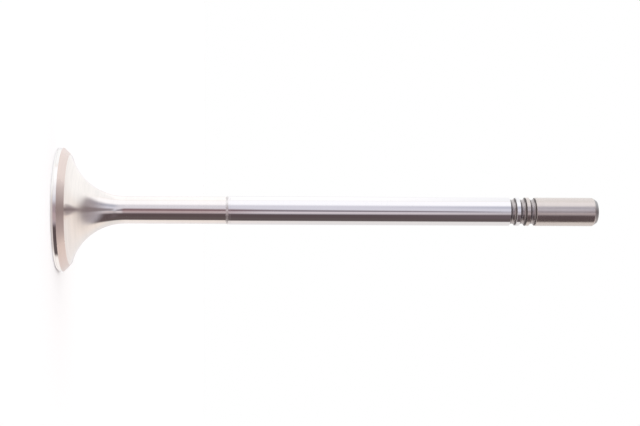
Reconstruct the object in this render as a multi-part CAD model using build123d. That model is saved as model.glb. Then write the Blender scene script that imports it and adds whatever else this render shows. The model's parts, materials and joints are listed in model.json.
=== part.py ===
from build123d import *
from math import cos, radians, sin, sqrt
import os

# Engine poppet valve: one forging, turned and ground all over, so it is one solid.
# Frame: the valve stands on its flat combustion face, with the origin at the middle of
# that face and +Z along the stem towards the tip. All sizes are in millimetres.

# Whole valve
overall_length = 112.95     # combustion face to the end of the tip

# Head
head_diameter = 26.1        # over the margin
margin_height = 1.08        # combustion face to the outer edge of the seat
face_chamfer = 0.42         # 45 degree bevel between the combustion face and the margin
seat_angle = 45.0           # of the seat, measured from the plane of the face
seat_width = 2.0            # along the slope of the seat
underhead_radius = 12.1     # the one sweep from the seat into the neck

# Stem
neck_diameter = 5.75        # relieved stretch in the port, below the guide
stem_diameter = 5.97        # ground stretch that runs in the guide
guide_start = 35.1          # combustion face to the foot of the ground stretch
step_height = 0.55          # slope from the neck up to the ground stretch

# Keeper grooves, round in section
groove_count = 3
groove_width = 1.32         # mouth of a groove, along the stem
groove_depth = 0.46         # below the stem's surface
groove_land = 0.74          # full-diameter ring left between two grooves

# Tip
tip_length = 12.95          # last groove's upper edge to the end of the tip
tip_chamfer_height = 0.88   # along the stem
tip_chamfer_width = 0.6     # across the stem
tip_edge_radius = 0.35      # softened corner where the tip meets its chamfer

head_radius = head_diameter / 2
neck_radius = neck_diameter / 2
stem_radius = stem_diameter / 2

# Inner edge of the seat, where the underhead sweep begins
seat_inner_radius = head_radius - seat_width * cos(radians(seat_angle))
seat_top = margin_height + seat_width * sin(radians(seat_angle))


def underhead_end():
    """Height at which the underhead sweep runs out tangent to the neck."""
    sweep_centre_radius = neck_radius + underhead_radius
    across = sweep_centre_radius - seat_inner_radius
    return seat_top + sqrt(underhead_radius**2 - across**2)


def underhead_sweep():
    """The large hollow arc that leaves the neck along it and ends at the seat's inner edge."""
    neck_edge = (neck_radius, underhead_end())
    seat_edge = (seat_inner_radius, seat_top)
    return TangentArc(neck_edge, seat_edge, tangent=(0, -1))


def half_section():
    """Half of the valve's section before the grooves are cut, beside the stem's axis."""
    chamfer_start = overall_length - tip_chamfer_height
    with BuildSketch() as section:
        with BuildLine():
            Polyline(
                (0, 0),
                (head_radius - face_chamfer, 0),
                (head_radius, face_chamfer),
                (head_radius, margin_height),
                (seat_inner_radius, seat_top),
            )
            add(underhead_sweep())
            Polyline(
                (neck_radius, underhead_end()),
                (neck_radius, guide_start),
                (stem_radius, guide_start + step_height),
                (stem_radius, chamfer_start),
                (stem_radius - tip_chamfer_width, overall_length),
                (0, overall_length),
                (0, 0),
            )
        make_face()
        tip_corner = section.vertices().sort_by_distance((stem_radius, chamfer_start))[0]
        fillet(tip_corner, tip_edge_radius)
    return section.sketch


def turned_blank():
    """The valve as it leaves the grinder, with a plain round stem."""
    return revolve(Plane.XZ * half_section(), Axis.Z)


def keeper_groove_heights():
    """Mid-heights of the grooves, from the one nearest the head to the last."""
    last = overall_length - tip_length - groove_width / 2
    pitch = groove_width + groove_land
    return [last - pitch * place for place in reversed(range(groove_count))]


def keeper_groove_ring():
    """The ring that one groove takes away: a torus sunk to the groove's depth."""
    section_radius = ((groove_width / 2) ** 2 + groove_depth**2) / (2 * groove_depth)
    return Torus(stem_radius - groove_depth + section_radius, section_radius)


def valve():
    """The finished valve, with its keeper grooves."""
    body = turned_blank()
    for height in keeper_groove_heights():
        body -= Pos(0, 0, height) * keeper_groove_ring()
    return body


os.makedirs("parts", exist_ok=True)
export_step(valve(), "parts/valve.step")
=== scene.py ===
import json
import math
import bpy
from bpy.props import FloatProperty, FloatVectorProperty, IntProperty, PointerProperty
from mathutils import Matrix, Vector


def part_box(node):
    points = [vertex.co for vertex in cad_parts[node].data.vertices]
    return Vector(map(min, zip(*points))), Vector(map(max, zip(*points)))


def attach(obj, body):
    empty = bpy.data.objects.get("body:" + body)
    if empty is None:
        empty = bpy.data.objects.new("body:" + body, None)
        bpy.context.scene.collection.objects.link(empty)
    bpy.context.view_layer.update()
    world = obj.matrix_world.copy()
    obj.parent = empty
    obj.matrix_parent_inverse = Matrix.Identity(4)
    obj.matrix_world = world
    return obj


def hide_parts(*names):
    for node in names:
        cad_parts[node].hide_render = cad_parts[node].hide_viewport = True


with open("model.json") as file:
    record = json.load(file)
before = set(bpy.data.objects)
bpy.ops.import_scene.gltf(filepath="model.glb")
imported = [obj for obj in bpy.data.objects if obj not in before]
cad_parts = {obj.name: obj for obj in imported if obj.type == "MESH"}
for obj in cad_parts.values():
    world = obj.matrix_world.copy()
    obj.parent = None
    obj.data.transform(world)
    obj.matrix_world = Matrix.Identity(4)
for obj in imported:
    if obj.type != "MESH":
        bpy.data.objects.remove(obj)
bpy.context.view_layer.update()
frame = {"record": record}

bl_info = {
    "name": "Engine Valve Bench",
    "version": (1, 0, 0),
    "blender": (4, 5, 0),
    "location": "View3D > Sidebar > Valve",
    "description": "Turns a poppet valve, gives each surface its finish and sets the studio",
    "category": "Object",
}

MM = 0.001
TOP_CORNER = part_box("valve")[1]
MOUNTS = {mount["name"]: mount for mount in frame["record"]["mounts"]}
GUIDE = MOUNTS["stem_guide"]
GUIDE_HALF_LENGTH = GUIDE["dims"]["length_mm"] * MM / 2
GUIDE_BOTTOM = GUIDE["pos_m"][2] - GUIDE_HALF_LENGTH
GUIDE_TOP = GUIDE["pos_m"][2] + GUIDE_HALF_LENGTH
WHITE = (1.0, 1.0, 1.0, 1.0)


def length(name, description, default):
    """A size that a user can change, in metres."""
    return FloatProperty(
        name=name, description=description, default=default, min=0.0,
        precision=5, subtype="DISTANCE", unit="LENGTH",
    )


def angle(name, description, default):
    """An angle that a user can change, given here in degrees."""
    return FloatProperty(
        name=name, description=description, default=math.radians(default),
        subtype="ANGLE", unit="ROTATION",
    )


def colour(name, description, default):
    """A finish's own colour, as linear light."""
    return FloatVectorProperty(
        name=name, description=description, default=default, size=3,
        min=0.0, max=1.0, subtype="COLOR",
    )


def share(name, description, default, soft_max=1.0):
    """A plain number from nothing to one, or a little more."""
    return FloatProperty(
        name=name, description=description, default=default, min=0.0, soft_max=soft_max,
    )


class ValveSizes(bpy.types.PropertyGroup):
    """The valve's turned sizes; the outer ones come from the frame."""

    overall_length: length("Overall Length", "Combustion face to tip", TOP_CORNER.z)
    head_radius: length("Head Radius", "Over the margin", TOP_CORNER.x)
    face_chamfer: length("Face Chamfer", "Bevel between the face and the margin", 0.42 * MM)
    margin_height: length("Margin Height", "Face to the seat's outer edge", 1.08 * MM)
    seat_angle: angle("Seat Angle", "Seat's slope from the plane of the face", 45.0)
    seat_width: length("Seat Width", "Along the seat's slope", 2.0 * MM)
    sweep_radius: length("Sweep Radius", "Hollow arc from the seat to the neck", 12.1 * MM)
    neck_radius: length("Neck Radius", "Relieved stretch in the port", 2.875 * MM)
    neck_top: length("Neck Top", "Height where the neck ends", GUIDE_BOTTOM - 0.55 * MM)
    stem_radius: length("Stem Radius", "Ground stretch", GUIDE["dims"]["r_mm"] * MM)
    plating_start: length("Plating Start", "Bare ring below the plating", 0.33 * MM)
    plating_depth: length("Plating Depth", "Thickness of the plating's edge", 0.012 * MM)
    groove_width: length("Groove Width", "Mouth of a keeper groove", 1.32 * MM)
    groove_depth: length("Groove Depth", "Below the stem's surface", 0.46 * MM)
    groove_land: length("Groove Land", "Ring left between two grooves", 0.74 * MM)
    chamfer_height: length("Chamfer Height", "Tip chamfer along the stem", 0.88 * MM)
    chamfer_width: length("Chamfer Width", "Tip chamfer across the stem", 0.60 * MM)
    tip_edge: length("Tip Edge", "Softened corner below the chamfer", 0.35 * MM)
    edge_break: length("Edge Break", "Tiny rounding left on every other corner", 0.05 * MM)
    groove_count: IntProperty(
        name="Groove Count", description="Keeper grooves", default=3, min=0, max=6,
    )
    lathe_steps: IntProperty(
        name="Lathe Steps", description="Faces round the valve", default=240, min=24,
    )
    sweep_steps: IntProperty(
        name="Sweep Steps", description="Faces along the underhead arc", default=56, min=8,
    )


class ValveFinishes(bpy.types.PropertyGroup):
    """Colour and gloss of each machined surface, with painted shade on the groove walls and the tip chamfer.
    """

    faced: colour("Faced Steel", "Combustion face", (0.62, 0.58, 0.56))
    margin: colour("Margin", "Turned rim of the head", (0.94, 0.92, 0.91))
    seat: colour("Seat", "Ground seat", (0.81, 0.69, 0.65))
    underhead: colour("Underhead", "Fine-turned sweep", (0.94, 0.89, 0.86))
    neck: colour("Neck", "Polished bare steel", (0.92, 0.88, 0.87))
    plating: colour("Plating", "Hard chrome on the stem", (0.90, 0.885, 0.91))
    step: colour("Step", "Ground step below the plating", (0.97, 0.94, 0.94))
    groove: colour("Groove", "Bottoms of the keeper grooves", (0.55, 0.51, 0.51))
    # Painted shade: the groove walls' dark colour stands in for the shade and dark reflections inside the
    # keeper grooves.
    groove_wall_painted_shade: colour("Groove Wall", "Darker walls of the keeper grooves", (0.12, 0.105, 0.105))
    tip: colour("Tip", "Bare ground tip", (0.72, 0.66, 0.635))
    # Painted shade: the chamfer's dark colour stands in for a dark reflection at the tip's edge.
    chamfer: colour("Chamfer", "Darker chamfer at the tip", (0.37, 0.36, 0.37))
    end: colour("End", "Ground end of the stem", (0.66, 0.62, 0.60))
    polish_start: length("Polish Start", "Height where the sweep begins to shine", 4.0 * MM)
    polish_end: length("Polish End", "Height where the neck is fully polished", 15.0 * MM)
    # Between these radii the groove's colour darkens outwards, which is painted shade on its walls.
    shade_start: length("Shade Start", "Radius where a groove's wall darkens", 2.555 * MM)
    shade_end: length("Shade End", "Radius where a groove's wall is darkest", 2.78 * MM)
    faced_roughness: share("Faced Roughness", "Combustion face", 0.30)
    margin_roughness: share("Margin Roughness", "Rim of the head", 0.07)
    seat_roughness: share("Seat Roughness", "Ground seat", 0.26)
    underhead_roughness: share("Underhead Roughness", "Fine-turned sweep", 0.17)
    neck_roughness: share("Neck Roughness", "Polished neck", 0.07)
    plating_roughness: share("Plating Roughness", "Chromed stem", 0.05)
    step_roughness: share("Step Roughness", "Ground step", 0.36)
    groove_roughness: share("Groove Roughness", "Keeper grooves", 0.32)
    tip_roughness: share("Tip Roughness", "Ground tip", 0.22)
    end_roughness: share("End Roughness", "Chamfer and end of the stem", 0.30)


class StudioSettings(bpy.types.PropertyGroup):
    """Where the camera stands and how the studio is lit."""

    camera_distance: length("Camera Distance", "Camera to the stem's axis", 0.260)
    camera_height: length("Camera Height", "Camera's own height", 35.66 * MM)
    framed_height: length("Framed Height", "Height in the middle of the picture", 54.94 * MM)
    camera_aside: length("Camera Aside", "Camera's shift across the stem", 0.56 * MM)
    camera_roll: angle("Camera Roll", "Tilt of the stem in the picture", 0.27)
    lens: FloatProperty(
        name="Lens", description="Focal length", default=69.47, min=1.0, unit="CAMERA",
    )
    floor_size: length("Floor Size", "Side of the pale floor", 3.0)
    floor_colour: colour("Floor Colour", "Matt floor", (0.93, 0.93, 0.93))
    floor_glow: share("Floor Glow", "Light added where the camera sees the floor", 0.14)
    lamp_strength: share("Lamp Strength", "Broad soft light from above", 0.95, soft_max=5.0)
    lamp_spread: angle("Lamp Spread", "How broad the light from above is", 40.0)


# ---------------------------------------------------------------- node helpers


def feed(tree, socket, value):
    """Links a socket into an input, or sets a plain value on it."""
    if isinstance(value, bpy.types.NodeSocket):
        tree.links.new(value, socket)
    elif value is not None:
        socket.default_value = value


def add_node(tree, kind, inputs=None, **settings):
    """A node of this kind, with its settings and its inputs, by name or by place."""
    made = tree.nodes.new(kind)
    for name, value in settings.items():
        setattr(made, name, value)
    for key, value in (inputs or {}).items():
        feed(tree, made.inputs[key], value)
    return made


def maths(tree, operation, first, second=None, third=None):
    """The result of a Math node."""
    inputs = {0: first, 1: second, 2: third}
    return add_node(tree, "ShaderNodeMath", inputs, operation=operation).outputs[0]


def smooth_step(tree, value, low, high):
    """Rises gently from 0 at low to 1 at high."""
    made = add_node(
        tree, "ShaderNodeMapRange",
        {"Value": value, "From Min": low, "From Max": high},
        interpolation_type="SMOOTHSTEP",
    )
    return made.outputs["Result"]


def blend_colours(tree, factor, below, above, blend_type="MIX"):
    """One colour laid over another."""
    made = add_node(tree, "ShaderNodeMix", data_type="RGBA", blend_type=blend_type)
    feed(tree, made.inputs[0], factor)
    feed(tree, made.inputs[6], below)
    feed(tree, made.inputs[7], above)
    return made.outputs[2]


def height_and_across(tree):
    """The point's height on the valve, and its place across it as a vector."""
    place = add_node(tree, "ShaderNodeTexCoord").outputs["Object"]
    axes = add_node(tree, "ShaderNodeSeparateXYZ", {0: place}).outputs
    across = add_node(tree, "ShaderNodeCombineXYZ", {0: axes["X"], 1: axes["Y"]}).outputs[0]
    return axes["Z"], across


def reach_of(tree, across):
    """How far a place across the valve is from its axis."""
    return add_node(
        tree, "ShaderNodeVectorMath", {0: across}, operation="LENGTH"
    ).outputs["Value"]


def new_group(name, kind, inputs, outputs):
    """A node group with named sockets, its tree and its two end nodes.

    inputs are (name, kind of socket, default) and outputs are (name, kind of socket).
    """
    tree = bpy.data.node_groups.new(name, kind)
    for label, socket_kind, default in inputs:
        made = tree.interface.new_socket(label, in_out="INPUT", socket_type=socket_kind)
        if default is not None:
            made.default_value = default
    for label, socket_kind in outputs:
        tree.interface.new_socket(label, in_out="OUTPUT", socket_type=socket_kind)
    return tree, tree.nodes.new("NodeGroupInput"), tree.nodes.new("NodeGroupOutput")


# ------------------------------------------------------------- the half-section

ROUNDING_STEPS = 6      # faces along a corner's arc
GROOVE_STEPS = 14       # faces across a groove's mouth
GUARD_REACH = 1.6       # a guard point's distance from its corner, in setbacks
GUARD_LIMIT = 0.45      # the most of a flat that a guard point may use up
LIP_POINTS = (2.0, 1.0, 0.5)    # extra points outside a groove's mouth, in edge breaks


def rounded(corners):
    """An outline through (radius, height, rounding) corners, each rounded as it says.

    A rounded corner gets its arc, and a guard point just before and just after it. The
    guard points keep the flats beside it flat when the turned surface is shaded smooth.
    """
    points = []
    for place, (r, z, rounding) in enumerate(corners):
        corner = Vector((r, z))
        if rounding == 0.0:
            points.append(corner)
            continue
        arriving = corner - Vector(corners[place - 1][:2])
        leaving = Vector(corners[place + 1][:2]) - corner
        heading = math.atan2(arriving.y, arriving.x)
        turn = (math.atan2(leaving.y, leaving.x) - heading + math.pi) % math.tau - math.pi
        setback = rounding * math.tan(abs(turn) / 2)
        flat = min(arriving.length, leaving.length)
        guard = min(setback * GUARD_REACH, flat * GUARD_LIMIT)
        start = corner - arriving.normalized() * setback
        side = math.copysign(rounding, turn)
        points.append(corner - arriving.normalized() * guard)
        for step in range(ROUNDING_STEPS + 1):
            now = heading + turn * step / ROUNDING_STEPS
            along = math.sin(now) - math.sin(heading)
            across = math.cos(heading) - math.cos(now)
            points.append(start + Vector((along, across)) * side)
        points.append(corner + leaving.normalized() * guard)
    return points


def seat_inner_edge(sizes):
    """Radius and height of the seat's inner edge, where the sweep begins."""
    radius = sizes.head_radius - sizes.seat_width * math.cos(sizes.seat_angle)
    height = sizes.margin_height + sizes.seat_width * math.sin(sizes.seat_angle)
    return radius, height


def sweep_end(sizes):
    """Height at which the underhead sweep runs into the neck."""
    inner, seat_top = seat_inner_edge(sizes)
    across = sizes.neck_radius + sizes.sweep_radius - inner
    return seat_top + math.sqrt(sizes.sweep_radius**2 - across**2)


def sweep_corners(sizes):
    """Points on the hollow arc between the seat's inner edge and the neck."""
    inner, seat_top = seat_inner_edge(sizes)
    end = sweep_end(sizes)
    first = math.acos((end - seat_top) / sizes.sweep_radius)
    centre = sizes.neck_radius + sizes.sweep_radius
    corners = []
    for step in range(1, sizes.sweep_steps + 1):
        lean = first + (math.pi / 2 - first) * step / sizes.sweep_steps
        r = centre - sizes.sweep_radius * math.sin(lean)
        z = end - sizes.sweep_radius * math.cos(lean)
        corners.append((r, z, 0.0))
    return corners


def groove_pitch(sizes):
    """Distance from one keeper groove to the next."""
    return sizes.groove_width + sizes.groove_land


def groove_arc_radius(sizes):
    """Radius of a keeper groove's round section."""
    half = sizes.groove_width / 2
    return (half**2 + sizes.groove_depth**2) / (2 * sizes.groove_depth)


def groove_corners(sizes):
    """Points on the plain stem where the lathe will cut the keeper grooves."""
    mouth = sizes.groove_width / 2
    arc_radius = groove_arc_radius(sizes)
    half_span = math.asin(mouth / arc_radius)
    cut = [
        arc_radius * math.sin(half_span * (2 * step / GROOVE_STEPS - 1))
        for step in range(GROOVE_STEPS + 1)
    ]
    lip = [mouth + sizes.edge_break * breaks for breaks in LIP_POINTS]
    stations = [-reach for reach in lip] + cut + list(reversed(lip))
    corners = []
    for groove in range(sizes.groove_count):
        middle = GUIDE_TOP + mouth + groove * groove_pitch(sizes)
        corners += [(sizes.stem_radius, middle + offset, 0.0) for offset in stations]
    return corners


def half_section(sizes):
    """Half of the valve's section as (radius, height) points, with a plain stem."""
    inner, seat_top = seat_inner_edge(sizes)
    plating = GUIDE_BOTTOM + sizes.plating_start
    bare_radius = sizes.stem_radius - sizes.plating_depth
    chamfer_start = sizes.overall_length - sizes.chamfer_height
    small = sizes.edge_break
    return rounded(
        [
            (0.0, 0.0, 0.0),
            (sizes.head_radius * 0.5, 0.0, 0.0),
            (sizes.head_radius - sizes.face_chamfer, 0.0, small),
            (sizes.head_radius, sizes.face_chamfer, small),
            (sizes.head_radius, sizes.margin_height, small),
            (inner, seat_top, small),
            *sweep_corners(sizes),
            (sizes.neck_radius, (sweep_end(sizes) + sizes.neck_top) / 2, 0.0),
            (sizes.neck_radius, sizes.neck_top, small),
            (bare_radius, GUIDE_BOTTOM, small),
            (bare_radius, plating, small),
            (sizes.stem_radius, plating + 2 * sizes.plating_depth, small),
            (sizes.stem_radius, (plating + GUIDE_TOP) / 2, 0.0),
            *groove_corners(sizes),
            (sizes.stem_radius, chamfer_start, sizes.tip_edge),
            (sizes.stem_radius - sizes.chamfer_width, sizes.overall_length, small),
            (0.0, sizes.overall_length, 0.0),
        ]
    )


def section_object(sizes):
    """The half-section as a chain of edges, for the lathe to turn."""
    points = half_section(sizes)
    mesh = bpy.data.meshes.new("half_section")
    edges = [(place, place + 1) for place in range(len(points) - 1)]
    mesh.from_pydata([(point.x, 0.0, point.y) for point in points], edges, [])
    made = bpy.data.objects.new("half_section", mesh)
    bpy.context.scene.collection.objects.link(made)
    return made


# -------------------------------------------------------------------- the lathe

MERGE_DISTANCE = MM / 5000      # closes the lathe's seam and both poles
GROOVED_SHARE = 0.75            # how grooved a face's corners are where it counts as groove

# Where a finish starts beside its own corner, as a share of that corner's size
MARGIN_START = 0.1              # of the edge break, above the combustion face
CHAMFER_START = 0.8             # of the tip chamfer, below the end
END_START = 0.3                 # of the edge break, below the end


def cut_grooves(tree, ends, radius, height):
    """The radius after the keeper grooves are cut, and where a groove is."""
    first, pitch = ends.outputs["First Groove"], ends.outputs["Groove Pitch"]
    width, depth = ends.outputs["Groove Width"], ends.outputs["Groove Depth"]
    stem, count = ends.outputs["Stem Radius"], ends.outputs["Groove Count"]
    turns = maths(tree, "DIVIDE", maths(tree, "SUBTRACT", height, first), pitch)
    last = maths(tree, "SUBTRACT", count, 1.0)
    nearest = maths(tree, "MINIMUM", maths(tree, "ROUND", turns), last)
    nearest = maths(tree, "MAXIMUM", nearest, 0.0)
    middle = maths(tree, "MULTIPLY_ADD", nearest, pitch, first)
    offset = maths(tree, "ABSOLUTE", maths(tree, "SUBTRACT", height, middle))
    half = maths(tree, "DIVIDE", width, 2.0)
    sides = maths(tree, "ADD", maths(tree, "POWER", half, 2.0), maths(tree, "POWER", depth, 2.0))
    arc = maths(tree, "DIVIDE", sides, maths(tree, "MULTIPLY", depth, 2.0))
    centre = maths(tree, "ADD", maths(tree, "SUBTRACT", stem, depth), arc)
    rise = maths(tree, "SUBTRACT", maths(tree, "POWER", arc, 2.0), maths(tree, "POWER", offset, 2.0))
    floor = maths(tree, "SUBTRACT", centre, maths(tree, "SQRT", maths(tree, "MAXIMUM", rise, 0.0)))
    cut = maths(tree, "SMOOTH_MIN", radius, floor, ends.outputs["Edge Break"])
    beside = maths(tree, "LESS_THAN", offset, pitch)
    inside = maths(tree, "LESS_THAN", offset, half)
    gone = maths(tree, "MULTIPLY", maths(tree, "SUBTRACT", radius, cut), beside)
    return maths(tree, "SUBTRACT", radius, gone), inside


def lathe_inputs(zones):
    """The lathe's named inputs, with each zone's height and each finish."""
    number, whole, matter = "NodeSocketFloat", "NodeSocketInt", "NodeSocketMaterial"
    sizes = ("First Groove", "Groove Pitch", "Groove Width", "Groove Depth", "Stem Radius")
    inputs = [("Half Section", "NodeSocketGeometry", None), ("Lathe Steps", whole, 240)]
    inputs += [("Groove Count", whole, 3), ("Mandrel", number, MM), ("Edge Break", number, 0.0)]
    inputs += [(name, number, 0.0) for name in sizes]
    inputs += [(f"{zone} From", number, 0.0) for zone in zones]
    inputs += [(f"{zone} Material", matter, None) for zone in (*zones, "Groove")]
    return inputs


def paint(tree, geometry, selection, material):
    """Gives the selected faces a material."""
    made = add_node(
        tree, "GeometryNodeSetMaterial",
        {"Geometry": geometry, "Selection": selection, "Material": material},
    )
    return made.outputs[0]


def lathe_tree(zones):
    """Geometry nodes that cut the keeper grooves and turn the half-section round.

    The section is a profile on a thin circle, the mandrel, so its radius is measured
    from there. zones are the finishes from the face upwards. Each covers all that is
    above its own height, until the next one covers it.
    """
    tree, ends, out = new_group(
        "lathe", "GeometryNodeTree", lathe_inputs(zones), [("Valve", "NodeSocketGeometry")]
    )
    position = add_node(tree, "GeometryNodeInputPosition").outputs[0]
    axes = add_node(tree, "ShaderNodeSeparateXYZ", {0: position})
    height = axes.outputs["Z"]
    radius, inside = cut_grooves(tree, ends, axes.outputs["X"], height)
    mandrel = ends.outputs["Mandrel"]
    out_from_mandrel = maths(tree, "SUBTRACT", radius, mandrel)
    downwards = maths(tree, "MULTIPLY", height, -1.0)
    tool = add_node(tree, "ShaderNodeCombineXYZ", {0: out_from_mandrel, 1: downwards})
    groove = add_node(
        tree, "GeometryNodeStoreNamedAttribute",
        {"Geometry": ends.outputs["Half Section"], "Name": "groove", "Value": inside},
        data_type="FLOAT", domain="POINT",
    )
    placed = add_node(
        tree, "GeometryNodeSetPosition", {"Geometry": groove.outputs[0], "Position": tool.outputs[0]}
    )
    section = add_node(tree, "GeometryNodeMeshToCurve", {"Mesh": placed.outputs[0]})
    circle = add_node(
        tree, "GeometryNodeCurvePrimitiveCircle",
        {"Resolution": ends.outputs["Lathe Steps"], "Radius": mandrel},
    )
    turned = add_node(
        tree, "GeometryNodeCurveToMesh",
        {"Curve": circle.outputs[0], "Profile Curve": section.outputs[0]},
    )
    closed = add_node(
        tree, "GeometryNodeMergeByDistance",
        {"Geometry": turned.outputs[0], "Distance": MERGE_DISTANCE},
    )
    smooth = add_node(tree, "GeometryNodeSetShadeSmooth", {"Geometry": closed.outputs[0]})
    finished = add_node(tree, "GeometryNodeRealizeInstances", {0: smooth.outputs[0]}).outputs[0]
    for zone in zones:
        above = add_node(
            tree, "FunctionNodeCompare", {0: height, 1: ends.outputs[f"{zone} From"]},
            data_type="FLOAT", operation="GREATER_THAN",
        )
        finished = paint(tree, finished, above.outputs[0], ends.outputs[f"{zone} Material"])
    kept = add_node(
        tree, "GeometryNodeInputNamedAttribute", {"Name": "groove"}, data_type="FLOAT"
    )
    in_groove = add_node(
        tree, "FunctionNodeCompare", {0: kept.outputs[0], 1: GROOVED_SHARE},
        data_type="FLOAT", operation="GREATER_THAN",
    )
    finished = paint(tree, finished, in_groove.outputs[0], ends.outputs["Groove Material"])
    feed(tree, out.inputs[0], finished)
    return tree


def set_inputs(modifier, values):
    """Sets a Geometry Nodes modifier's inputs by their sockets' identifiers."""
    for item in modifier.node_group.interface.items_tree:
        if item.item_type == "SOCKET" and item.in_out == "INPUT" and item.name in values:
            modifier[item.identifier] = values[item.name]


def plain_mesh(source, name):
    """The evaluated object as a new plain mesh object at the origin."""
    bpy.context.view_layer.update()
    evaluated = source.evaluated_get(bpy.context.evaluated_depsgraph_get())
    mesh = bpy.data.meshes.new_from_object(evaluated)
    mesh.name = name
    source.modifiers.clear()
    bpy.data.objects.remove(source)
    made = bpy.data.objects.new(name, mesh)
    bpy.context.scene.collection.objects.link(made)
    return made


def zone_heights(sizes):
    """Each finish from the face upwards, with the height where it begins."""
    _, seat_top = seat_inner_edge(sizes)
    return {
        "Faced": -MM,
        "Margin": sizes.edge_break * MARGIN_START,
        "Seat": sizes.margin_height,
        "Underhead": seat_top,
        "Step": sizes.neck_top,
        "Plating": GUIDE_BOTTOM,
        "Tip": GUIDE_TOP + groove_pitch(sizes),
        "Chamfer": sizes.overall_length - sizes.chamfer_height * CHAMFER_START,
        "End": sizes.overall_length - sizes.edge_break * END_START,
    }


# ------------------------------------------------------------------ shader groups

FINE_MARKS = (1.0, 2.0)         # scale and detail
COARSE_MARKS = (0.22, 3.0)      # scale and detail
FINE_SHARE = 0.4                # of the marks' tone; the coarse marks give the rest
MARK_ROUGHNESS = 0.6
CLOUD_DETAIL = 4.0
HAZE_EDGE = (0.35, 0.75)        # where a cloud begins, and where it is full
SPECK_EDGE = (0.03, 0.12)       # where a speck is full, and where it ends, in its cell
SPECK_IN_CELL = 0.25            # a speck's size as a share of the cell round it
BARE_CELLS = 0.9                # share of the cells that hold no speck


def round_marks():
    """Marks that a tool or a wheel leaves round the axis: many fine, some coarse."""
    number = "NodeSocketFloat"
    tree, ends, out = new_group(
        "round_marks", "ShaderNodeTree",
        [("Marks per mm", number, 8.0), ("Breaks per Turn", number, 3.0), ("Seed", number, 0.0)],
        [("Height", number), ("Tone", number)],
    )
    height, across = height_and_across(tree)
    facing = add_node(tree, "ShaderNodeVectorMath", {0: across}, operation="NORMALIZE").outputs[0]
    bearing = add_node(tree, "ShaderNodeSeparateXYZ", {0: facing}).outputs
    density = maths(tree, "DIVIDE", ends.outputs["Marks per mm"], MM)
    breaks = ends.outputs["Breaks per Turn"]
    place = add_node(
        tree, "ShaderNodeCombineXYZ",
        {
            0: maths(tree, "MULTIPLY", reach_of(tree, across), density),
            1: maths(tree, "MULTIPLY", height, density),
            2: maths(tree, "MULTIPLY", bearing["X"], breaks),
        },
    ).outputs[0]
    around = maths(tree, "MULTIPLY_ADD", bearing["Y"], breaks, ends.outputs["Seed"])
    shared = {"Vector": place, "W": around, "Roughness": MARK_ROUGHNESS}
    fine, coarse = (
        add_node(
            tree, "ShaderNodeTexNoise",
            {**shared, "Scale": scale, "Detail": detail}, noise_dimensions="4D",
        ).outputs[0]
        for scale, detail in (FINE_MARKS, COARSE_MARKS)
    )
    fine_tone = maths(tree, "MULTIPLY", fine, FINE_SHARE)
    coarse_tone = maths(tree, "MULTIPLY", coarse, 1.0 - FINE_SHARE)
    feed(tree, out.inputs["Height"], fine)
    feed(tree, out.inputs["Tone"], maths(tree, "ADD", fine_tone, coarse_tone))
    return tree


def handling_haze():
    """Soft clouds of oil haze with a few small specks, for gloss that varies."""
    number = "NodeSocketFloat"
    tree, ends, out = new_group(
        "handling_haze", "ShaderNodeTree",
        [("Cloud Size", number, 6 * MM), ("Speck Size", number, 0.25 * MM), ("Seed", number, 0.0)],
        [("Haze", number), ("Specks", number)],
    )
    place = add_node(tree, "ShaderNodeTexCoord").outputs["Object"]
    clouds = add_node(
        tree, "ShaderNodeTexNoise",
        {
            "Vector": place, "W": ends.outputs["Seed"], "Detail": CLOUD_DETAIL,
            "Scale": maths(tree, "DIVIDE", 1.0, ends.outputs["Cloud Size"]),
        },
        noise_dimensions="4D",
    )
    specks = add_node(
        tree, "ShaderNodeTexVoronoi",
        {
            "Vector": place,
            "Scale": maths(tree, "DIVIDE", SPECK_IN_CELL, ends.outputs["Speck Size"]),
        },
    )
    full, outer = SPECK_EDGE
    beyond = smooth_step(tree, specks.outputs["Distance"], full, outer)
    near = maths(tree, "SUBTRACT", 1.0, beyond)
    draw = add_node(tree, "ShaderNodeSeparateColor", {0: specks.outputs["Color"]}).outputs[0]
    rare = maths(tree, "GREATER_THAN", draw, BARE_CELLS)
    feed(tree, out.inputs["Haze"], smooth_step(tree, clouds.outputs[0], *HAZE_EDGE))
    feed(tree, out.inputs["Specks"], maths(tree, "MULTIPLY", near, rare))
    return tree


# --------------------------------------------------------------------- finishes

HAZE_DULLING = 0.35         # how much rougher a cloud of haze makes the metal
SPECK_TINT = 0.55           # a speck's colour as a share of the metal's
BUMP_LOST = 0.9             # share of the marks' depth that is gone in the second finish
TONE_LOST = 0.6             # share of the marks' tone that is gone in the second finish
GRAIN_ROUND_AXIS = 0.25     # quarter of a turn, so that the highlight crosses the marks


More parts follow.
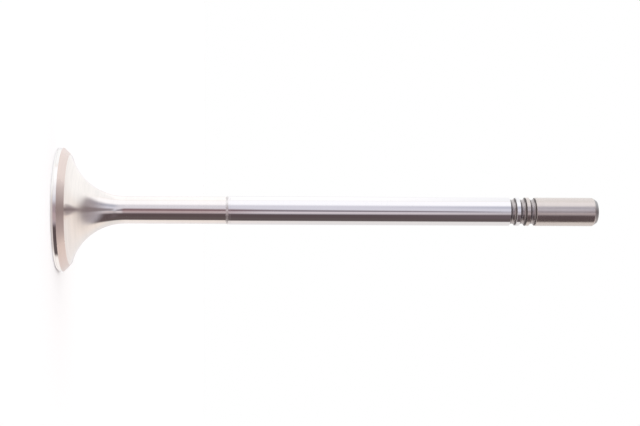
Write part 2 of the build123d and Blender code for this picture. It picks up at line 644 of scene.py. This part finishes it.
def metal_finish(name, base, roughness, marks, seed, tone, bump, grain, turns_into=None):
    """A machined steel surface.

    marks are (marks per mm, breaks per turn), tone is how much they change the
    colour, bump their depth in metres, and grain how much they stretch the highlight.
    turns_into is (measure, start, end, base, roughness) of a second finish that it
    gradually turns into, with its marks nearly gone. It does so up the valve where the
    measure is "height", and away from the axis where it is "radius"; the keeper grooves
    use the radius to paint shade on their walls.
    """
    material = bpy.data.materials.new(name)
    material.use_nodes = True
    tree = material.node_tree
    shader = tree.nodes["Principled BSDF"]
    lines = add_node(
        tree, "ShaderNodeGroup", {}, node_tree=bpy.data.node_groups["round_marks"]
    )
    for label, value in zip(("Marks per mm", "Breaks per Turn", "Seed"), (*marks, seed)):
        lines.inputs[label].default_value = value
    film = add_node(
        tree, "ShaderNodeGroup", {}, node_tree=bpy.data.node_groups["handling_haze"]
    )
    film.inputs["Seed"].default_value = seed
    depth = bump
    steel = (*base, 1.0)
    if turns_into:
        measure, start, end, second_base, second_roughness = turns_into
        height, across = height_and_across(tree)
        distance = height if measure == "height" else reach_of(tree, across)
        turned = smooth_step(tree, distance, start, end)
        steel = blend_colours(tree, turned, steel, (*second_base, 1.0))
        roughness = maths(tree, "MULTIPLY_ADD", turned, second_roughness - roughness, roughness)
        depth = maths(tree, "MULTIPLY_ADD", turned, -BUMP_LOST * bump, bump)
        tone = maths(tree, "MULTIPLY_ADD", turned, -TONE_LOST * tone, tone)
    centred = maths(tree, "MULTIPLY_ADD", lines.outputs["Tone"], 2.0, -1.0)
    shade = maths(tree, "MULTIPLY_ADD", centred, tone, 1.0)
    grey = add_node(tree, "ShaderNodeCombineColor", {0: shade, 1: shade, 2: shade}).outputs[0]
    tinted = blend_colours(tree, 1.0, steel, grey, "MULTIPLY")
    speck = (*(SPECK_TINT * channel for channel in base), 1.0)
    specked = blend_colours(tree, film.outputs["Specks"], tinted, speck)
    feed(tree, shader.inputs["Base Color"], specked)
    dulling = maths(tree, "MULTIPLY_ADD", film.outputs["Haze"], HAZE_DULLING, 1.0)
    feed(tree, shader.inputs["Roughness"], maths(tree, "MULTIPLY", roughness, dulling))
    shader.inputs["Metallic"].default_value = 1.0
    shader.inputs["Anisotropic"].default_value = grain
    shader.inputs["Anisotropic Rotation"].default_value = GRAIN_ROUND_AXIS
    around = add_node(tree, "ShaderNodeTangent", direction_type="RADIAL", axis="Z")
    feed(tree, shader.inputs["Tangent"], around.outputs[0])
    relief = add_node(
        tree, "ShaderNodeBump",
        {"Height": lines.outputs["Height"], "Strength": 1.0, "Distance": depth},
    )
    feed(tree, shader.inputs["Normal"], relief.outputs["Normal"])
    return material


def valve_materials(looks):
    """Every finish of the valve, by the zone that it covers."""
    return {
        "Faced": metal_finish(
            "faced_steel", looks.faced, looks.faced_roughness, marks=(6.0, 0.6), seed=1.0,
            tone=0.10, bump=0.004 * MM, grain=0.6),
        "Margin": metal_finish(
            "margin_steel", looks.margin, looks.margin_roughness, marks=(9.0, 2.0), seed=2.0,
            tone=0.05, bump=0.0006 * MM, grain=0.5),
        "Seat": metal_finish(
            "seat_steel", looks.seat, looks.seat_roughness, marks=(10.0, 3.0), seed=3.0,
            tone=0.08, bump=0.001 * MM, grain=0.6),
        "Underhead": metal_finish(
            "underhead_steel", looks.underhead, looks.underhead_roughness, marks=(3.2, 1.6), seed=4.0,
            tone=0.14, bump=0.003 * MM, grain=0.9,
            turns_into=(
                "height", looks.polish_start, looks.polish_end, looks.neck, looks.neck_roughness)),
        "Step": metal_finish(
            "step_steel", looks.step, looks.step_roughness, marks=(9.0, 2.0), seed=5.0,
            tone=0.05, bump=0.0005 * MM, grain=0.0),
        "Plating": metal_finish(
            "stem_plating", looks.plating, looks.plating_roughness, marks=(9.0, 4.0), seed=6.0,
            tone=0.03, bump=0.0002 * MM, grain=0.4),
        # Keeper grooves: ground steel at the bottom, turning into painted shade up the walls.
        "Groove": metal_finish(
            "groove_steel", looks.groove, looks.groove_roughness, marks=(10.0, 2.0), seed=7.0,
            tone=0.07, bump=0.0005 * MM, grain=0.5,
            turns_into=(
                "radius", looks.shade_start, looks.shade_end,
                looks.groove_wall_painted_shade, looks.groove_roughness)),
        "Tip": metal_finish(
            "tip_steel", looks.tip, looks.tip_roughness, marks=(9.0, 4.0), seed=8.0,
            tone=0.07, bump=0.0008 * MM, grain=0.6),
        # The chamfer's dark colour is painted shade, standing in for a dark reflection at the stem's end.
        "Chamfer": metal_finish(
            "chamfer_steel", looks.chamfer, looks.end_roughness, marks=(9.0, 2.0), seed=9.0,
            tone=0.06, bump=0.0008 * MM, grain=0.4),
        "End": metal_finish(
            "end_steel", looks.end, looks.end_roughness, marks=(7.0, 1.0), seed=10.0,
            tone=0.10, bump=0.002 * MM, grain=0.6),
    }


# ------------------------------------------------------------------- the studio

# The studio that the metal mirrors, as panels laid one over another: name, how much
# each covers, its light, and its edges. An edge is (weights, start, softness): the
# panel lies where the direction, weighted so along X, Y and Z, is over the start.
PANELS = (
    ("grey_wall", 1.0, (0.72, 0.71, 0.77), ()),
    ("high_wall", 1.0, (0.65, 0.655, 0.74), (((0, 0, 1), 0.24, 0.12),)),
    ("cool_card", 0.75, (0.44, 0.46, 0.54), (
        ((1, 0, 0), -0.70, 0.09), ((-1, 0, 0), 0.38, 0.09), ((0, 0, 1), 0.19, 0.12))),
    ("dim_room", 1.0, (0.33, 0.29, 0.305), (((0, 0, 1), 0.68, 0.30),)),
    ("roof_gap", 0.75, (0.20, 0.16, 0.165), (
        ((1, 0, 0), -0.15, 0.08), ((-1, 0, 0), -0.13, 0.06), ((0, 0, 1), 0.31, 0.05))),
    ("roof_card", 0.9, (0.60, 0.52, 0.52), (
        ((1, 0, 0), 0.15, 0.04), ((-1, 0, 0), -0.42, 0.08), ((0, 0, 1), 0.28, 0.05),
        ((0, 0, -1), -0.62, 0.2))),
    ("dim_floor", 1.0, (0.35, 0.31, 0.315), (((0, 0, -1), 0.50, 0.20),)),
    ("white_card", 0.6, (1.10, 1.08, 1.08), (((-1, 0, 0), 0.42, 0.14), ((0, 0, -1), 0.10, 0.04))),
    ("door_gap", 1.0, (0.24, 0.20, 0.225), (
        ((1, 0, -0.62), -0.134, 0.105), ((-1, 0, 0), -0.145, 0.06),
        ((0, 0, -1), -0.225, 0.04), ((0, 0, 1), -0.13, 0.04))),
    ("pink_card", 1.0, (0.69, 0.62, 0.645), (
        ((1, 0, -0.39), 0.144, 0.05), ((-1, 0, 0.39), -0.40, 0.085), ((0, 0, -1), -0.26, 0.08))),
    ("dusk_card", 1.0, (0.46, 0.42, 0.43), (
        ((1, 0, 0), 0.16, 0.14), ((0, 0, 1), 0.21, 0.07), ((0, 0, -1), -0.31, 0.05))),
    ("warm_card", 0.5, (0.24, 0.10, 0.10), (((1, 0, 0), -0.20, 0.13), ((0, 0, -1), -0.01, 0.03))),
    ("dark_flag", 1.0, (0.108, 0.080, 0.084), (((0.89, 0.45, 0), 0.0, 0.14), ((0, 0, -1), -0.67, 0.12))),
    ("flag_top", 1.0, (0.14, 0.11, 0.12), (
        ((0.89, 0.45, 0), 0.1, 0.1), ((0, 0, 1), 0.17, 0.08), ((0, 0, -1), -0.34, 0.06))),
    ("softbox", 1.0, (1.09, 1.09, 1.11), (((-1, 0, 0.1), 0.70, 0.13),)),
    ("table", 1.0, (0.90, 0.83, 0.78), (((-0.02, 1, -0.06), -0.03, 0.11),)),
    ("far_table", 1.0, (0.89, 0.86, 0.85), (((0, 1, 0), 0.55, 0.35),)),
    ("near_table", 1.0, (1.0, 0.955, 0.93), (((0, 1, 0), 0.15, 0.15), ((0, 0, -1), 0.07, 0.05))),
    ("low_table", 0.7, (0.81, 0.80, 0.78), (
        ((1, 0, 0), 0.3, 0.2), ((0, 1, 0), 0.0, 0.1), ((0, 0, 1), 0.03, 0.05), ((0, 0, -1), -0.35, 0.1))),
    ("flag_edge", 1.0, (0.12, 0.095, 0.095), (
        ((1, 0, 0), 0.86, 0.06), ((0, -1, 0), -0.05, 0.12), ((0, 0, -1), -0.40, 0.1))),
    ("lit_table", 1.0, (1.01, 1.02, 1.02), (((0, 1, 0), -0.02, 0.15), ((-1, 0, 0), 0.15, 0.2))),
    ("lit_edge", 1.0, (1.14, 1.14, 1.13), (
        ((0, 1, 0), 0.0, 0.2), ((-1, 0, 0), 0.0, 0.15), ((0, 0, -1), -0.17, 0.07), ((0, 0, 1), -0.1, 0.06))),
    ("under_shade", 1.0, (0.66, 0.60, 0.59), (
        ((0, 0, -1), 0.50, 0.15), ((1, 0, 0), -0.18, 0.15), ((0, -1, 0), -0.55, 0.12))),
    ("backdrop", 0.6, (0.84, 0.83, 0.85), (
        ((0, 1, 0), 0.84, 0.08), ((0, 0, -1), -0.17, 0.06), ((0, 0, 1), -0.17, 0.04))),
    ("rear_gap", 0.8, (0.40, 0.37, 0.385), (
        ((1, 0, 0), -0.07, 0.06), ((-1, 0, 0), -0.07, 0.06), ((0, 1, 0), 0.9, 0.05),
        ((0, 0, -1), -0.10, 0.04), ((0, 0, 1), -0.17, 0.04))),
    ("rear_right_flag", 1.0, (0.11, 0.095, 0.10), (
        ((0.82, 0.57, 0), 0.80, 0.06), ((0, 0, -1), 0.21, 0.04), ((1, 0, 0), 0.48, 0.05))),
    ("rear_left_flag", 1.0, (0.11, 0.095, 0.10), (
        ((-0.87, 0.5, 0), 0.86, 0.06), ((0, 0, -1), 0.21, 0.04))),
    ("front_left_flag", 1.0, (0.13, 0.11, 0.115), (
        ((-0.57, -0.82, 0), 0.88, 0.05), ((0, 0, -1), 0.21, 0.04))),
)


SENSOR_WIDTH = 36.0                     # millimetres, as the lens is
SEEN_FROM, SEEN_TO = 0.01, 20.0         # metres from the camera
LAMP_SIDE = (-0.25, -0.2, 1.0)          # where the light from above comes from


def studio_light(tree):
    """The light that the metal mirrors, by direction."""
    aim = add_node(tree, "ShaderNodeTexCoord").outputs["Generated"]
    light = (0.0, 0.0, 0.0, 1.0)
    for name, cover, panel, edges in PANELS:
        mask = cover
        for weights, start, softness in edges:
            reach = add_node(
                tree, "ShaderNodeVectorMath", {0: aim, 1: weights}, operation="DOT_PRODUCT"
            ).outputs["Value"]
            inside = smooth_step(tree, reach, start - softness, start + softness)
            mask = maths(tree, "MULTIPLY", inside, mask)
        light = blend_colours(tree, mask, light, (*panel, 1.0))
        light.node.label = name
    return light


def studio_world():
    """White behind the valve, and the studio's walls in what it mirrors."""
    world = bpy.data.worlds.new("studio")
    world.use_nodes = True
    tree = world.node_tree
    tree.nodes.clear()
    walls = add_node(tree, "ShaderNodeBackground", {"Color": studio_light(tree), "Strength": 1.0})
    white = add_node(tree, "ShaderNodeBackground", {"Color": WHITE, "Strength": 1.0})
    seen = add_node(tree, "ShaderNodeLightPath").outputs["Is Camera Ray"]
    both = add_node(
        tree, "ShaderNodeMixShader", {0: seen, 1: walls.outputs[0], 2: white.outputs[0]}
    )
    add_node(tree, "ShaderNodeOutputWorld", {"Surface": both.outputs[0]})
    bpy.context.scene.world = world


def floor_material(settings):
    """Pale floor that takes a shadow, with a little glow that only the camera sees."""
    material = bpy.data.materials.new("pale_floor")
    material.use_nodes = True
    tree = material.node_tree
    tree.nodes.clear()
    seen = add_node(tree, "ShaderNodeLightPath").outputs["Is Camera Ray"]
    strength = maths(tree, "MULTIPLY", seen, settings.floor_glow)
    glow = add_node(tree, "ShaderNodeEmission", {"Color": WHITE, "Strength": strength})
    matt = add_node(tree, "ShaderNodeBsdfDiffuse", {"Color": (*settings.floor_colour, 1.0)})
    both = add_node(tree, "ShaderNodeAddShader", {0: matt.outputs[0], 1: glow.outputs[0]})
    add_node(tree, "ShaderNodeOutputMaterial", {"Surface": both.outputs[0]})
    return material


def make_floor(settings):
    """A flat pale floor under the valve, left out of what the metal mirrors."""
    half = settings.floor_size / 2
    mesh = bpy.data.meshes.new("floor")
    corners = [(-half, -half, 0.0), (half, -half, 0.0), (half, half, 0.0), (-half, half, 0.0)]
    mesh.from_pydata(corners, [], [(0, 1, 2, 3)])
    mesh.materials.append(floor_material(settings))
    floor = bpy.data.objects.new("floor", mesh)
    floor.visible_glossy = False
    bpy.context.scene.collection.objects.link(floor)


def make_lamp(settings):
    """A broad soft light from above, a little in front and to the left."""
    data = bpy.data.lights.new("overhead_lamp", "SUN")
    data.energy = settings.lamp_strength
    data.angle = settings.lamp_spread
    lamp = bpy.data.objects.new("overhead_lamp", data)
    lamp.visible_glossy = False
    lamp.rotation_euler = Vector(LAMP_SIDE).to_track_quat("Z", "Y").to_euler()
    bpy.context.scene.collection.objects.link(lamp)


def make_camera(settings):
    """A camera on -Y whose picture has the stem lying level, head to the left."""
    data = bpy.data.cameras.new("camera")
    data.lens = settings.lens
    data.sensor_width = SENSOR_WIDTH
    data.clip_start, data.clip_end = SEEN_FROM, SEEN_TO
    seen_width = settings.camera_distance * data.sensor_width / data.lens
    data.shift_x = (settings.framed_height - settings.camera_height) / seen_width
    camera = bpy.data.objects.new("camera", data)
    right, up = Vector((0.0, 0.0, 1.0)), Vector((-1.0, 0.0, 0.0))
    turn = Matrix((right, up, right.cross(up))).transposed().to_4x4()
    place = Vector((settings.camera_aside, -settings.camera_distance, settings.camera_height))
    roll = Matrix.Rotation(settings.camera_roll, 4, "Z")
    camera.matrix_world = Matrix.Translation(place) @ turn @ roll
    bpy.context.scene.collection.objects.link(camera)
    bpy.context.scene.camera = camera


# -------------------------------------------------------------------- operators


class BENCH_OT_turn_valve(bpy.types.Operator):
    """Turn the valve from its half-section and give each surface its finish"""

    bl_idname = "bench.turn_valve"
    bl_label = "Turn the Valve"

    def execute(self, context):
        sizes, looks = context.scene.valve_sizes, context.scene.valve_finishes
        round_marks()
        handling_haze()
        materials = valve_materials(looks)
        heights = zone_heights(sizes)
        blank = section_object(sizes)
        lathe = blank.modifiers.new("lathe", "NODES")
        lathe.node_group = lathe_tree(tuple(heights))
        values = {
            "Lathe Steps": sizes.lathe_steps,
            "Groove Count": sizes.groove_count,
            "Edge Break": sizes.edge_break,
            "First Groove": GUIDE_TOP + sizes.groove_width / 2,
            "Groove Pitch": groove_pitch(sizes),
            "Groove Width": sizes.groove_width,
            "Groove Depth": sizes.groove_depth,
            "Stem Radius": sizes.stem_radius,
        }
        values |= {f"{zone} From": height for zone, height in heights.items()}
        values |= {f"{zone} Material": material for zone, material in materials.items()}
        set_inputs(lathe, values)
        valve = plain_mesh(blank, "turned_valve")
        if not valve.data.polygons:
            raise RuntimeError("the lathe made no surface")
        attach(valve, "root")
        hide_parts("valve")
        return {"FINISHED"}


class BENCH_OT_set_studio(bpy.types.Operator):
    """Set the floor, the light and the camera"""

    bl_idname = "bench.set_studio"
    bl_label = "Set the Studio"

    def execute(self, context):
        settings = context.scene.studio_settings
        context.scene.view_settings.view_transform = "Standard"
        studio_world()
        make_floor(settings)
        make_lamp(settings)
        make_camera(settings)
        return {"FINISHED"}


class BENCH_PT_valve(bpy.types.Panel):
    """Sizes, finishes and studio of the valve"""

    bl_idname = "BENCH_PT_valve"
    bl_label = "Engine Valve"
    bl_space_type = "VIEW_3D"
    bl_region_type = "UI"
    bl_category = "Valve"

    def draw(self, context):
        for settings in ("valve_sizes", "valve_finishes", "studio_settings"):
            group = getattr(context.scene, settings)
            box = self.layout.box()
            for name in group.bl_rna.properties.keys():
                if name not in {"rna_type", "name"}:
                    box.prop(group, name)
        self.layout.operator(BENCH_OT_turn_valve.bl_idname)
        self.layout.operator(BENCH_OT_set_studio.bl_idname)


CLASSES = (
    ValveSizes, ValveFinishes, StudioSettings,
    BENCH_OT_turn_valve, BENCH_OT_set_studio, BENCH_PT_valve,
)


def register():
    for cls in CLASSES:
        bpy.utils.register_class(cls)
    bpy.types.Scene.valve_sizes = PointerProperty(type=ValveSizes)
    bpy.types.Scene.valve_finishes = PointerProperty(type=ValveFinishes)
    bpy.types.Scene.studio_settings = PointerProperty(type=StudioSettings)


def unregister():
    del bpy.types.Scene.studio_settings
    del bpy.types.Scene.valve_finishes
    del bpy.types.Scene.valve_sizes
    for cls in reversed(CLASSES):
        bpy.utils.unregister_class(cls)


def main():
    register()
    bpy.ops.bench.set_studio()
    bpy.ops.bench.turn_valve()


if __name__ == "__main__":
    main()
